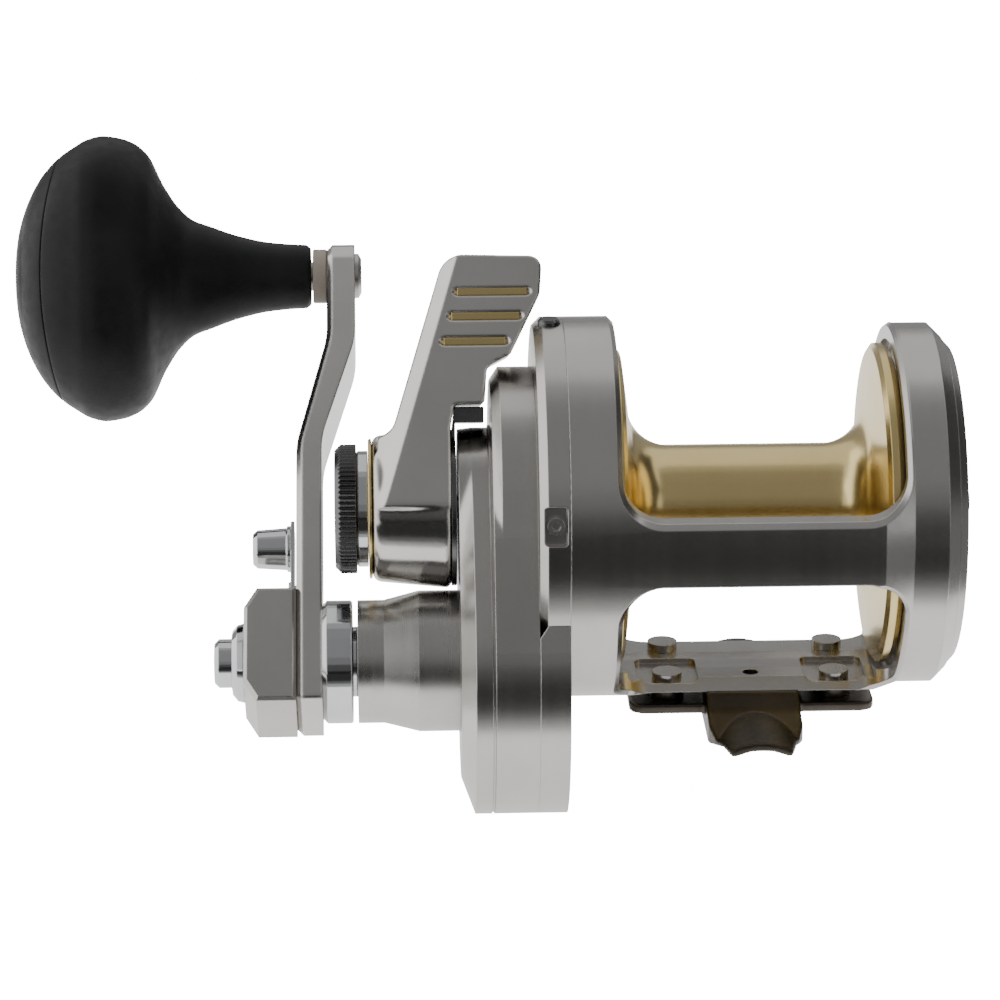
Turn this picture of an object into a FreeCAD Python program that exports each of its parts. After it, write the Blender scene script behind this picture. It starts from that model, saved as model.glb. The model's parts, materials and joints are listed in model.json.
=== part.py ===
import FreeCAD, Part
import math
import os
import re
import Sketcher

# Two-speed lever-drag trolling reel.
# X runs along the spool axis with the handle at -X, Z is up, the front (rod tip) is at -Y.
# The origin lies on the rod axis, centred under the reel foot.

V = FreeCAD.Vector
doc = FreeCAD.newDocument("trolling_reel")
sheet = doc.addObject("Spreadsheet::Sheet", "Sizes")

SIZES = (
    # where the axes are
    ("reel_x", -0.8, "middle of the reel from the middle of the foot"),
    ("spool_z", 51.0, "spool axis above the rod axis"),
    ("gear_gap", 30.525, "spool axis to gear axis"),
    ("gear_lean", 18.0, "gear axis leans forward of straight down, degrees"),
    ("crank_lean", 48.0, "crank arm leans back from straight up, degrees"),
    ("grip_turn", 18.0, "long side of the grip leans back, degrees"),
    ("lever_lean", 18.0, "drag lever leans back, degrees"),
    # frame
    ("ring_r", 38.0, "frame ring outside"),
    ("bore_r", 32.8, "frame ring bore"),
    ("bar_in_r", 33.4, "inside of the bars"),
    ("seam_x", -36.7, "frame meets side plate"),
    ("window_x", 27.4, "windows reach this far each way from the middle of the foot"),
    ("window_corner", 8.0, "window corner radius"),
    ("barrel_end", 23.7, "full-size barrel ends"),
    ("small_ring_x", 29.5, "small ring starts"),
    ("small_ring_r", 36.0, "small ring outside"),
    ("small_ring_end", 36.2, "small ring ends"),
    ("frame_end", 38.6, "frame end face"),
    ("frame_end_r", 33.6, "frame end face outside"),
    ("cover_seat_r", 31.2, "seat of the end cover"),
    ("wall_in_x", 30.4, "end wall, spool side"),
    ("wall_out_x", 34.0, "end wall, cover side"),
    ("front_bar_top", 7.9, "front bar top edge above the spool axis"),
    ("rear_bar_top", 1.2, "rear bar top edge above the spool axis"),
    ("front_window_half", 19.4, "half height of the lower front window"),
    ("rear_window_half", 14.6, "half height of the lower rear window"),
    ("floor_bottom", -35.3, "flat underside of the bottom bar"),
    ("floor_half", 13.0, "half depth of the bottom bar"),
    ("floor_top", -33.1, "flat top of the bottom bar"),
    ("window_edge", 1.0, "window edge chamfer"),
    # foot
    ("seat_r", 11.5, "rod seat radius under the foot"),
    ("blade_thick", 1.6, "foot blade thickness"),
    ("blade_half", 9.4, "half width of the foot blade"),
    ("blade_front", 35.0, "blade reaches this far forward"),
    ("blade_back", 26.0, "blade reaches this far back"),
    ("blade_end_half", 6.1, "half width at the front end of the blade"),
    ("blade_flat", 10.5, "underside of the blade ends"),
    ("stand_half", 24.6, "half width of the stand plate"),
    ("stand_bottom", 11.2, "stand plate underside"),
    ("stand_top", 13.1, "stand plate top"),
    ("foot_screw_x", 16.8, "foot screws each side of centre"),
    ("foot_screw_y", 7.0, "foot screws fore and aft of centre"),
    ("foot_head_r", 3.0, "foot screw head"),
    # spool
    ("flange_r", 32.0, "spool flange"),
    ("spool_l", -28.6, "spool end, handle side"),
    ("spool_r", 28.4, "spool end, far side"),
    ("hub_r", 12.0, "spool hub"),
    ("shaft_r", 2.5, "spool shaft"),
    ("run_fit", 0.08, "running clearance"),
    # side plate, housing and cover
    ("plate_x", -42.6, "side plate face"),
    ("housing_shoulder", -49.5, "housing edge before its chamfer"),
    ("housing_x", -51.2, "housing top face"),
    ("housing_spool_r", 28.4, "housing around the spool axis"),
    ("housing_gear_r", 30.7, "housing around the gear axis"),
    ("flank_sin", "=(housing_spool_r-housing_gear_r)/gear_gap", "slope of the housing flanks"),
    ("flank_cos", "=sqrt(1-flank_sin^2)", "the same slope, as a cosine"),
    ("shoulder_r", 4.0, "rounding where the housing meets the flanks"),
    ("shoulder_down", 8.2, "distance of that rounding down the flank"),
    ("housing_top_r", 25.6, "housing top face around the spool axis"),
    ("gasket", 0.5, "cover gasket thickness"),
    ("cover_x", -55.0, "cover edge before its slope"),
    ("cover_top", -57.7, "cover top face"),
    ("cover_spool_r", 16.0, "cover around the spool axis"),
    ("cover_top_r", 23.4, "cover top face around the gear axis"),
    ("gear_room_r", 28.4, "room for the gears"),
    # collar and crank
    ("collar_r", 14.1, "collar at its foot"),
    ("collar_neck_r", 12.3, "collar neck and thrust ring"),
    ("collar_end", -78.0, "collar outer end"),
    ("crank_r", 92.0, "crank radius"),
    ("arm_out", -90.2, "arm outer face at the hub"),
    ("arm_in", -85.0, "arm inner face at the hub"),
    ("arm_tip_out", -83.9, "arm outer face at the grip"),
    ("arm_tip_in", -78.0, "arm inner face at the grip"),
    ("arm_tip_r", 6.6, "arm tip half width"),
    ("main_shaft_r", 5.0, "crank shaft"),
    ("block_x", -100.6, "hub block outer face"),
    ("block_long", 25.3, "hub block along the arm"),
    ("block_wide", 17.4, "hub block across the arm"),
    ("button_x", -106.6, "shift button outer face"),
    ("button_r", 4.9, "shift button"),
    ("release_z", 26.0, "release knob from the gear axis"),
    # grip
    ("grip_end", -149.2, "outer end of the grip"),
    ("grip_depth", 0.74, "grip depth over height in the wide part"),
    ("pin_r", 3.0, "grip pin"),
    # gears
    ("tooth_size", 0.825, "gear module"),
    ("high_teeth", 63, "high-speed gear"),
    ("high_pinion_teeth", 11, "high-speed pinion"),
    ("low_teeth", 56, "low-speed gear"),
    ("low_pinion_teeth", 18, "low-speed pinion"),
    # lever and preset knob
    ("lever_out", -74.8, "lever hub outer face"),
    ("lever_in", -59.1, "lever hub inner face"),
    ("lever_r", 16.0, "lever hub"),
    ("lever_top", 49.8, "lever tip from the spool axis"),
    ("lever_wide", 13.0, "lever tip width"),
    ("strike_x", -39.5, "strike button and stop screw, along the axis"),
    ("strike_r", 2.2, "strike button"),
    ("preset_r", 12.9, "preset knob"),
    ("preset_x", -82.2, "preset knob outer face"),
)
for row, (alias, value, note) in enumerate(SIZES, start=1):
    sheet.set("A%d" % row, note)
    sheet.set("B%d" % row, str(value))
    sheet.setAlias("B%d" % row, alias)
doc.recompute()

NAMES = {alias for alias, value, note in SIZES}
WORD = re.compile(r"[a-z][a-z_]*")


def full(expression):
    """The expression with every sheet name written in full."""
    return WORD.sub(
        lambda hit: "Sizes." + hit.group() if hit.group() in NAMES else hit.group(),
        str(expression),
    )


def val(expression):
    """The number an expression on the sheet comes to."""
    return float(sheet.evalExpression(full(expression)))


# ---------------------------------------------------------------- placements

def on_spool(turn="0"):
    """On the spool axis, turned about it (positive tips the top forward)."""
    middle = V(val("reel_x"), 0, val("spool_z"))
    return FreeCAD.Placement(middle, FreeCAD.Rotation(V(1, 0, 0), val(turn)))


def gear_axis():
    lean = math.radians(val("gear_lean"))
    gap = val("gear_gap")
    return V(val("reel_x"), -gap * math.sin(lean), val("spool_z") - gap * math.cos(lean))


def on_gear(turn="0"):
    """On the gear axis, turned about it."""
    return FreeCAD.Placement(gear_axis(), FreeCAD.Rotation(V(1, 0, 0), val(turn)))


def grip_axis():
    lean = math.radians(val("crank_lean"))
    reach = val("crank_r")
    return gear_axis() + V(0, reach * math.sin(lean), reach * math.cos(lean))


def on_grip(turn="0"):
    """On the grip axis at the crank tip."""
    return FreeCAD.Placement(grip_axis(), FreeCAD.Rotation(V(1, 0, 0), val(turn)))


TO_GEAR = "-gear_lean"      # local -Z points from the spool axis to the gear axis
GEAR_LEAN = val("gear_lean")
STOP_LEAN = 12.0            # the stop screw points in at this angle below level
ON_ROD = FreeCAD.Placement()

# ---------------------------------------------------------------- sketches

parts = {}


def new_body(label, placement):
    body = doc.addObject("PartDesign::Body", label)
    body.Label = label
    body.Placement = placement
    parts[label] = body
    return body


def sketch_on(body, role, offset="0", tilt=0.0):
    """A sketch on one of the body's own origin planes, shifted along its normal."""
    plane = [item for item in body.Origin.OriginFeatures if item.Role == role][0]
    sketch = body.newObject("Sketcher::SketchObject", body.Name + "_sketch")
    sketch.AttachmentSupport = [(plane, "")]
    sketch.MapMode = "FlatFace"
    sketch.AttachmentOffset = FreeCAD.Placement(V(0, 0, 0), FreeCAD.Rotation(V(1, 0, 0), tilt))
    if str(offset) != "0":
        way = (full(offset), tilt)
        sketch.setExpression("AttachmentOffset.Base.y", "-(%s)*sin(%g)" % way)
        sketch.setExpression("AttachmentOffset.Base.z", "(%s)*cos(%g)" % way)
    return sketch


def hold_point(sketch, index, end, x, y):
    """Tie a point to the sheet by its distances from the sketch origin."""
    for kind, expression, axis in (("DistanceX", x, -2), ("DistanceY", y, -1)):
        number = val(expression)
        if abs(number) < 1e-9:
            sketch.addConstraint(Sketcher.Constraint("PointOnObject", index, end, axis))
            continue
        rule = Sketcher.Constraint(kind, -1, 1, index, end, number)
        sketch.setExpression("Constraints[%d]" % sketch.addConstraint(rule), full(expression))


def hold_radius(sketch, index, radius):
    rule = Sketcher.Constraint("Radius", index, val(radius))
    sketch.setExpression("Constraints[%d]" % sketch.addConstraint(rule), full(radius))


def arc(centre, radius, start, end):
    return Part.ArcOfCircle(Part.Circle(centre, V(0, 0, 1), radius), start, end)


def round_corner(before, corner, after, radius):
    """Tangent points and arc that round one corner."""
    one = (before - corner).normalize()
    two = (after - corner).normalize()
    half = one.getAngle(two) / 2
    reach = radius / math.tan(half)
    start = corner + one * reach
    end = corner + two * reach
    centre = corner + (one + two).normalize() * (radius / math.sin(half))
    first = math.atan2(start.y - centre.y, start.x - centre.x)
    last = math.atan2(end.y - centre.y, end.x - centre.x)
    turn = (one.cross(two)).z
    if turn > 0:
        return start, end, arc(centre, radius, last, first), True
    return start, end, arc(centre, radius, first, last), False


def outline(sketch, points):
    """A closed outline; a third entry rounds that corner."""
    spots = [V(val(point[0]), val(point[1]), 0) for point in points]
    count = len(spots)
    starts = list(spots)
    ends = list(spots)
    arcs = {}
    for i, point in enumerate(points):
        if len(point) == 3:
            start, end, curve, flipped = round_corner(
                spots[i - 1], spots[i], spots[(i + 1) % count], val(point[2]))
            starts[i] = end
            ends[i] = start
            arcs[i] = (curve, flipped)
    lines = []
    for i in range(count):
        lines.append(sketch.addGeometry(
            Part.LineSegment(starts[i], ends[(i + 1) % count]), False))
    for i, point in enumerate(points):
        before = lines[i - 1]
        after = lines[i]
        if i not in arcs:
            sketch.addConstraint(Sketcher.Constraint("Coincident", before, 2, after, 1))
            hold_point(sketch, after, 1, point[0], point[1])
            continue
        curve, flipped = arcs[i]
        bend = sketch.addGeometry(curve, False)
        first, last = (2, 1) if flipped else (1, 2)
        sketch.addConstraint(Sketcher.Constraint("Tangent", before, 2, bend, first))
        sketch.addConstraint(Sketcher.Constraint("Tangent", bend, last, after, 1))
        hold_radius(sketch, bend, point[2])
        mark = sketch.addGeometry(Part.Point(spots[i]), True)
        hold_point(sketch, mark, 1, point[0], point[1])
        sketch.addConstraint(Sketcher.Constraint("PointOnObject", mark, 1, before))
        sketch.addConstraint(Sketcher.Constraint("PointOnObject", mark, 1, after))
    return sketch


def hull(sketch, circles):
    """The band stretched round circles given as (x, y, radius), anticlockwise."""
    centres = [V(val(x), val(y), 0) for x, y, radius in circles]
    radii = [val(radius) for x, y, radius in circles]
    count = len(circles)
    normals = []
    for i in range(count):
        j = (i + 1) % count
        along = centres[j] - centres[i]
        lean = (radii[i] - radii[j]) / along.Length
        along.normalize()
        side = V(along.y, -along.x, 0)
        normals.append(side * math.sqrt(1 - lean * lean) + along * lean)
    bends = []
    lines = []
    for i in range(count):
        first = math.atan2(normals[i - 1].y, normals[i - 1].x)
        last = math.atan2(normals[i].y, normals[i].x)
        bends.append(sketch.addGeometry(arc(centres[i], radii[i], first, last), False))
    for i in range(count):
        j = (i + 1) % count
        lines.append(sketch.addGeometry(Part.LineSegment(
            centres[i] + normals[i] * radii[i], centres[j] + normals[i] * radii[j]), False))
    for i, (x, y, radius) in enumerate(circles):
        hold_point(sketch, bends[i], 3, x, y)
        hold_radius(sketch, bends[i], radius)
        sketch.addConstraint(Sketcher.Constraint("Tangent", bends[i], 2, lines[i], 1))
        sketch.addConstraint(Sketcher.Constraint(
            "Tangent", lines[i], 2, bends[(i + 1) % count], 1))
    return sketch


def circle(sketch, x, y, radius):
    index = sketch.addGeometry(
        Part.Circle(V(val(x), val(y), 0), V(0, 0, 1), val(radius)), False)
    hold_point(sketch, index, 3, x, y)
    hold_radius(sketch, index, radius)
    return sketch


# ---------------------------------------------------------------- features

def feature(body, kind, sketch, reverse=False):
    made = body.newObject("PartDesign::" + kind, body.Name + "_" + kind.lower())
    made.Profile = sketch
    if reverse:
        made.Reversed = True
    sketch.Visibility = False
    return made


def pad(body, sketch, length, reverse=False, both=False):
    made = feature(body, "Pad", sketch, reverse)
    made.setExpression("Length", full(length))
    if both:
        made.SideType = "Symmetric"
    return made


def pocket(body, sketch, length, reverse=False, both=False):
    made = feature(body, "Pocket", sketch, reverse)
    made.setExpression("Length", full(length))
    if both:
        made.SideType = "Symmetric"
    return made


def loft(body, sketches, cut=False):
    kind = "SubtractiveLoft" if cut else "AdditiveLoft"
    made = feature(body, kind, sketches[0])
    made.Sections = sketches[1:]
    made.Ruled = True
    return made


def turned(label, placement, points):
    """A piece turned about the X axis; points are (x, radius) or (x, radius, rounding)."""
    body = new_body(label, placement)
    sketch = outline(sketch_on(body, "XZ_Plane"), points)
    made = feature(body, "Revolution", sketch)
    made.ReferenceAxis = (sketch, ["H_Axis"])
    made.Angle = 360
    return body


def ring(label, placement, start, end, outer, inner, edge="0.2"):
    """A plain turned ring with its outer edges broken."""
    return turned(label, placement, [
        (start, inner), (start, "%s-%s" % (outer, edge)), ("%s+%s" % (start, edge), outer),
        ("%s-%s" % (end, edge), outer), (end, "%s-%s" % (outer, edge)), (end, inner)])


def chamfer(body, picker, size):
    """Chamfer the edges of the finished shape that the picker chooses."""
    doc.recompute()
    tip = body.Tip
    names = ["Edge%d" % (i + 1) for i, edge in enumerate(tip.Shape.Edges) if picker(edge)]
    made = body.newObject("PartDesign::Chamfer", body.Name + "_chamfer")
    made.Base = (tip, names)
    made.setExpression("Size", full(size))
    return made


def computed(label, shape, placement):
    """A piece whose form has to be worked out point by point."""
    made = doc.addObject("Part::Feature", label)
    made.Label = label
    made.Shape = shape
    made.Placement = placement.multiply(shape.Placement)
    parts[label] = made
    return made


# ================================================================ frame and foot

frame = turned("frame", on_spool(), [
    ("seam_x", "bore_r"), ("seam_x", "ring_r"), ("barrel_end", "ring_r"),
    ("small_ring_x", "small_ring_r"), ("small_ring_end", "small_ring_r"),
    ("frame_end", "frame_end_r"), ("frame_end", "cover_seat_r"),
    ("wall_out_x", "cover_seat_r"), ("wall_out_x", 7), ("wall_in_x", 7),
    ("wall_in_x", "bore_r"), ("window_x-reel_x", "bore_r"), ("window_x-reel_x", "bar_in_r"),
    ("-window_x-reel_x", "bar_in_r"), ("-window_x-reel_x", "bore_r")])


def frame_window(low, high, tilt, backward):
    """A round-cornered window milled straight through one side of the barrel."""
    left = "window_corner-window_x-reel_x"
    right = "window_x-window_corner-reel_x"
    near = "%s+window_corner" % low
    far = "%s-window_corner" % high
    sketch = hull(sketch_on(frame, "XZ_Plane", tilt=tilt), [
        (left, near, "window_corner"), (right, near, "window_corner"),
        (right, far, "window_corner"), (left, far, "window_corner")])
    pocket(frame, sketch, "ring_r+5", reverse=backward)


frame_window("front_bar_top", "ring_r+20", 0.0, True)
frame_window("rear_bar_top", "ring_r+20", 0.0, False)
frame_window("-front_window_half", "front_window_half", 39.0, True)
frame_window("-rear_window_half", "rear_window_half", -47.0, False)
under = outline(sketch_on(frame, "XZ_Plane"), [
    ("-window_x-reel_x", "floor_bottom"), ("-window_x-reel_x", "-ring_r-3"),
    ("window_x-reel_x", "-ring_r-3"), ("window_x-reel_x", "floor_bottom")])
pocket(frame, under, "4*floor_half", both=True)


def on_window_rim(edge):
    """Edges where a window breaks through the outside of the barrel."""
    slope = val("(ring_r-small_ring_r)/(small_ring_x-barrel_end)")
    spots = [edge.valueAt(edge.FirstParameter + part * (
        edge.LastParameter - edge.FirstParameter)) for part in (0.1, 0.5, 0.9)]
    for spot in spots:
        surface = val("ring_r") - slope * max(0.0, spot.x - val("barrel_end"))
        if abs(spot.x + val("reel_x")) > val("window_x") + 0.05:
            return False
        if abs(math.hypot(spot.y, spot.z) - surface) > 0.05:
            return False
    on_seam = all(abs(spot.x - val("barrel_end")) < 0.01 for spot in spots)
    return not on_seam and spots[1].z > val("floor_bottom") + 2


chamfer(frame, on_window_rim, "window_edge")

flat = outline(sketch_on(frame, "XY_Plane", "floor_top"), [
    ("2.5-window_x-reel_x", -12.3), ("window_x-reel_x-2.5", -12.3),
    ("window_x-reel_x-2.5", 20), ("2.5-window_x-reel_x", 20)])
pocket(frame, flat, 4, reverse=True)
ACROSS = ("-foot_screw_x-reel_x", "foot_screw_x-reel_x")
holes = sketch_on(frame, "XY_Plane", "floor_bottom-1")
for across in ACROSS:
    for fore in ("-foot_screw_y", "foot_screw_y"):
        circle(holes, across, fore, 1.6)
circle(holes, "-reel_x", -7.5, 1.6)
pocket(frame, holes, 6, reverse=True)
nests = sketch_on(frame, "XY_Plane", "floor_bottom+0.9")
for across in ACROSS:
    hull(nests, [
        ("%s-4.6" % across, -9.6, 1.5), ("%s+4.6" % across, -9.6, 1.5),
        ("%s+4.6" % across, 0, 1.5), ("%s-4.6" % across, 0, 1.5)])
pocket(frame, nests, 4, reverse=True)
click_slot = hull(sketch_on(frame, "YZ_Plane", "wall_in_x-1"), [
    (0, -22.2, 2.6), (0, -16.8, 2.6)])
pocket(frame, click_slot, 6, reverse=True)

foot = new_body("reel_foot", ON_ROD)
section = sketch_on(foot, "XZ_Plane")
SEAT = val("seat_r")
OUTER = SEAT + val("blade_thick")
HALF = val("blade_half")
low = math.acos(HALF / SEAT)
high = math.acos(HALF / OUTER)
inner_arc = section.addGeometry(arc(V(0, 0, 0), SEAT, low, math.pi - low), False)
outer_arc = section.addGeometry(arc(V(0, 0, 0), OUTER, high, math.pi - high), False)
right = section.addGeometry(Part.LineSegment(
    V(HALF, SEAT * math.sin(low), 0), V(HALF, OUTER * math.sin(high), 0)), False)
left = section.addGeometry(Part.LineSegment(
    V(-HALF, OUTER * math.sin(high), 0), V(-HALF, SEAT * math.sin(low), 0)), False)
for index in (inner_arc, outer_arc):
    section.addConstraint(Sketcher.Constraint("Coincident", index, 3, -1, 1))
hold_radius(section, inner_arc, "seat_r")
hold_radius(section, outer_arc, "seat_r+blade_thick")
for pair in ((inner_arc, 1, right, 1), (right, 2, outer_arc, 1),
             (outer_arc, 2, left, 1), (left, 2, inner_arc, 2)):
    section.addConstraint(Sketcher.Constraint("Coincident", *pair))
section.addConstraint(Sketcher.Constraint("Vertical", right))
section.addConstraint(Sketcher.Constraint("Vertical", left))
for index, distance in ((right, "blade_half"), (left, "-blade_half")):
    rule = Sketcher.Constraint("DistanceX", -1, 1, index, 1, val(distance))
    section.setExpression("Constraints[%d]" % section.addConstraint(rule), full(distance))
pad(foot, section, "2*blade_front", both=True)
saddle = outline(sketch_on(foot, "YZ_Plane"), [
    (-33, 5), (-33, "seat_r-3"), (-17, "seat_r+blade_thick+0.1", 8),
    (-13.2, "spool_z+floor_bottom"), (13.2, "spool_z+floor_bottom"),
    (17, "seat_r+blade_thick+0.1", 8), (25, "seat_r-3"), (25, 5)])
pad(foot, saddle, "2*blade_half", both=True)
stand = hull(sketch_on(foot, "XY_Plane", "stand_bottom"), [
    ("3-stand_half", "3-floor_half", 3), ("stand_half-3", "3-floor_half", 3),
    ("stand_half-3", "floor_half-3", 3), ("3-stand_half", "floor_half-3", 3)])
pad(foot, stand, "stand_top-stand_bottom")
pocket(foot, circle(sketch_on(foot, "XZ_Plane"), 0, 0, "seat_r"), "2*blade_front", both=True)
shorter = outline(sketch_on(foot, "XY_Plane"), [
    (-20, "blade_back"), (20, "blade_back"), (20, "blade_front+5"), (-20, "blade_front+5")])
pocket(foot, shorter, 20, reverse=True)
for side, reach in ((-1, "blade_front"), (1, "blade_back")):
    thin = outline(sketch_on(foot, "YZ_Plane"), [
        ("%d*(%s+3)" % (side, reach), 0), ("%d*(%s+3)" % (side, reach), "blade_flat"),
        ("%d*(%s-5)" % (side, reach), "blade_flat"), (side * 14.6, 6), (side * 14.6, 0)])
    pocket(foot, thin, "3*blade_half", both=True)
    for hand in (1, -1):
        nip = outline(sketch_on(foot, "XY_Plane"), [
            ("%d*(blade_half+4)" % hand, side * 21), ("%d*blade_half" % hand, side * 21),
            ("%d*blade_end_half" % hand, "%d*%s" % (side, reach)),
            ("%d*blade_end_half" % hand, "%d*(%s+3)" % (side, reach)),
            ("%d*(blade_half+4)" % hand, "%d*(%s+3)" % (side, reach))])
        pocket(foot, nip, "stand_top+3", reverse=True)
screw_holes = sketch_on(foot, "XY_Plane")
for across in ("-foot_screw_x", "foot_screw_x"):
    for fore in ("-foot_screw_y", "foot_screw_y"):
        circle(screw_holes, across, fore, 1.6)
pocket(foot, screw_holes, "stand_top+3", reverse=True)


def gathered(label, placement, pieces):
    """Several like pieces kept as one node."""
    group = doc.addObject("Part::Compound", label)
    group.Label = label
    group.Links = pieces
    group.Placement = placement
    parts[label] = group
    return group


def rod(name, radius, length, spot, direction):
    """A plain cylinder with its size on the sheet."""
    made = doc.addObject("Part::Cylinder", name)
    made.setExpression("Radius", full(radius))
    made.setExpression("Height", full(length))
    made.Placement = FreeCAD.Placement(spot, FreeCAD.Rotation(V(0, 0, 1), direction))
    return made


def joined(name, kind, base, tool):
    made = doc.addObject("Part::" + kind, name)
    made.Base = base
    made.Tool = tool
    return made


def screw(name, spot, direction, head_r, head_long, shank_r, shank_long, key_r=0):
    """A screw with its spot under the head and its shank along direction; key_r is its socket."""
    head = rod(name + "_head", head_r, head_long, spot, direction * -1)
    shank = rod(name + "_shank", shank_r, shank_long, spot, direction)
    body = joined(name + "_body", "Fuse", head, shank)
    if not key_r:
        return body
    key = doc.addObject("Part::Prism", name + "_key")
    key.Polygon = 6
    key.setExpression("Circumradius", full(key_r))
    key.setExpression("Height", full("(%s)*0.6" % head_long))
    base = spot - direction * val(head_long)
    key.Placement = FreeCAD.Placement(base, FreeCAD.Rotation(V(0, 0, 1), direction))
    return joined(name, "Cut", body, key)


foot_spots = [(i * val("foot_screw_x"), j * val("foot_screw_y")) for i in (-1, 1) for j in (-1, 1)]
FLOOR = val("spool_z+floor_bottom")
foot_screws = []
spacers = []
for i, (x, y) in enumerate(foot_spots):
    under_head = val("floor_top-floor_bottom") if y > 0 else 0.9
    foot_screws.append(screw("foot_screw%d" % i, V(x, y, FLOOR + under_head), V(0, 0, -1),
                             "foot_head_r", 1.6, 1.55, under_head + 4.4))
    base = V(x, y, val("stand_top"))
    tube = rod("spacer%d_tube" % i, 3.4, "spool_z+floor_bottom-stand_top", base, V(0, 0, 1))
    bore = rod("spacer%d_bore" % i, 1.6, "spool_z+floor_bottom-stand_top", base, V(0, 0, 1))
    spacers.append(joined("spacer%d" % i, "Cut", tube, bore))
gathered("foot_screws", ON_ROD, foot_screws)
gathered("foot_spacers", ON_ROD, spacers)

cover = turned("end_cover", on_spool(), [
    (36.4, 0), ("frame_end+1.8", 0), ("frame_end+1.8", "frame_end_r-2.2"),
    ("frame_end+0.1", "frame_end_r-0.4"), ("frame_end", "frame_end_r-0.4"),
    ("frame_end", "cover_seat_r-0.1"), (36.4, "cover_seat_r-0.1")])
slot = hull(sketch_on(cover, "YZ_Plane", "frame_end+3"), [(0, -22.2, 2.6), (0, -16.8, 2.6)])
pocket(cover, slot, 6)
SCREW_CIRCLE = 27.4
for radius, depth in ((1.05, 6), (2.3, 2)):
    drilled = sketch_on(cover, "YZ_Plane", "frame_end+3")
    for i in range(5):
        angle = 90 + 72 * i
        circle(drilled, "%s*cos(%d)" % (SCREW_CIRCLE, angle),
               "%s*sin(%d)" % (SCREW_CIRCLE, angle), radius)
    pocket(cover, drilled, depth)

# ================================================================ spool

turned("spool", on_spool(), [
    ("spool_l", 25.2), ("spool_l", "flange_r-1.2"), ("spool_l+1.2", "flange_r"),
    ("spool_l+2.6", "flange_r"), ("spool_l+3.4", "flange_r-1.2"), ("spool_l+5.8", "hub_r", 8.5),
    ("spool_r-5.8", "hub_r", 8.5), ("spool_r-3.4", "flange_r-1.2"), ("spool_r-2.6", "flange_r"),
    ("spool_r-1.2", "flange_r"), ("spool_r", "flange_r-1.2"), ("spool_r", 27.4),
    ("spool_r-1.6", 26.8), ("spool_r-1.6", 6.5), ("spool_r-6.6", 6.5),
    ("spool_r-6.6", "shaft_r+0.8"), ("spool_l+8.2", "shaft_r+0.8"), ("spool_l+8.2", 6.5),
    ("spool_l+3.2", 6.5), ("spool_l+3.2", 25.2)])
bearing_fit = "shaft_r+run_fit"
ring("spool_bearing_l", on_spool(), "spool_l+3.2", "spool_l+8.2", 6.5, bearing_fit)
ring("spool_bearing_r", on_spool(), "spool_r-6.6", "spool_r-1.6", 6.5, bearing_fit)
ring("drag_washer", on_spool(), "spool_l+1.4", "spool_l+3.2", 25, 12)


def toothed(count, tip, root, share, phase=0.0):
    """Points of a ratchet-like rim with sloped teeth."""
    points = []
    for i in range(count):
        for turn, radius in ((0.0, root), (share, tip), (share + 0.12, tip), (1.0, root)):
            angle = 2 * math.pi * (i + turn) / count + phase
            if turn < 1.0:
                points.append(V(0, radius * math.cos(angle), radius * math.sin(angle)))
    return points


def slab(points, start, end, bore):
    """A toothed disc between two X stations with a round bore."""
    wire = Part.makePolygon(points + [points[0]])
    disc = Part.Face(wire)
    disc.translate(V(start, 0, 0))
    solid = disc.extrude(V(end - start, 0, 0))
    hole = Part.makeCylinder(bore, end - start + 2, V(start - 1, 0, 0), V(1, 0, 0))
    return solid.cut(hole)


computed("click_ratchet", slab(
    toothed(36, 14.2, 12.6, 0.45), val("spool_r-1.6"), val("spool_r+1.2"), 8.0), on_spool())

# ================================================================ side plate and housing


def flanked(body, offset, spool_radius, gear_radius):
    """An outline round the spool axis with straight flanks down to a round foot at the gear axis."""
    return hull(sketch_on(body, "YZ_Plane", offset), [
        (0, "-gear_gap", gear_radius), (0, 0, spool_radius)])


def hollowed(body, points):
    """Turn material away about the X axis."""
    sketch = outline(sketch_on(body, "XZ_Plane"), points)
    made = feature(body, "Groove", sketch)
    made.ReferenceAxis = (sketch, ["H_Axis"])
    made.Angle = 360
    return made


plate = new_body("side_plate", on_spool(TO_GEAR))
pad(plate, flanked(plate, "plate_x", "housing_spool_r", "housing_gear_r"), "seam_x-plate_x")
pad(plate, circle(sketch_on(plate, "YZ_Plane", "plate_x"), 0, 0, "ring_r"), "seam_x-plate_x")
spigot = outline(sketch_on(plate, "XZ_Plane"), [
    ("seam_x-0.5", 30.4), ("seam_x-0.5", "bore_r-0.4"), ("seam_x+3", "bore_r-0.4"),
    ("seam_x+3", 30.4)])
spigot_turn = feature(plate, "Revolution", spigot)
spigot_turn.ReferenceAxis = (spigot, ["H_Axis"])
hollowed(plate, [
    ("plate_x-0.1", "ring_r-1.7"), ("plate_x+1.6", "ring_r"), ("plate_x-0.1", "ring_r+1.7")])
hollowed(plate, [(-39, 11.5), (-39, 29.2), ("seam_x+0.1", 30.2), ("seam_x+0.1", 11.5)])
boss = outline(sketch_on(plate, "XZ_Plane"), [(-39.2, 9), (-39.2, 11.5), (-36, 11.5), (-36, 9)])
boss_turn = feature(plate, "Revolution", boss)
boss_turn.ReferenceAxis = (boss, ["H_Axis"])
hollowed(plate, [("plate_x-1", 0), ("plate_x-1", 7.8), (-41, 7.8), (-41, 9), (-35.5, 9), (-35.5, 0)])
button_hole = circle(sketch_on(plate, "XY_Plane", "ring_r+2", tilt=GEAR_LEAN),
                     "strike_x", 0, "strike_r+run_fit")
pocket(plate, button_hole, 11.5)
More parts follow.
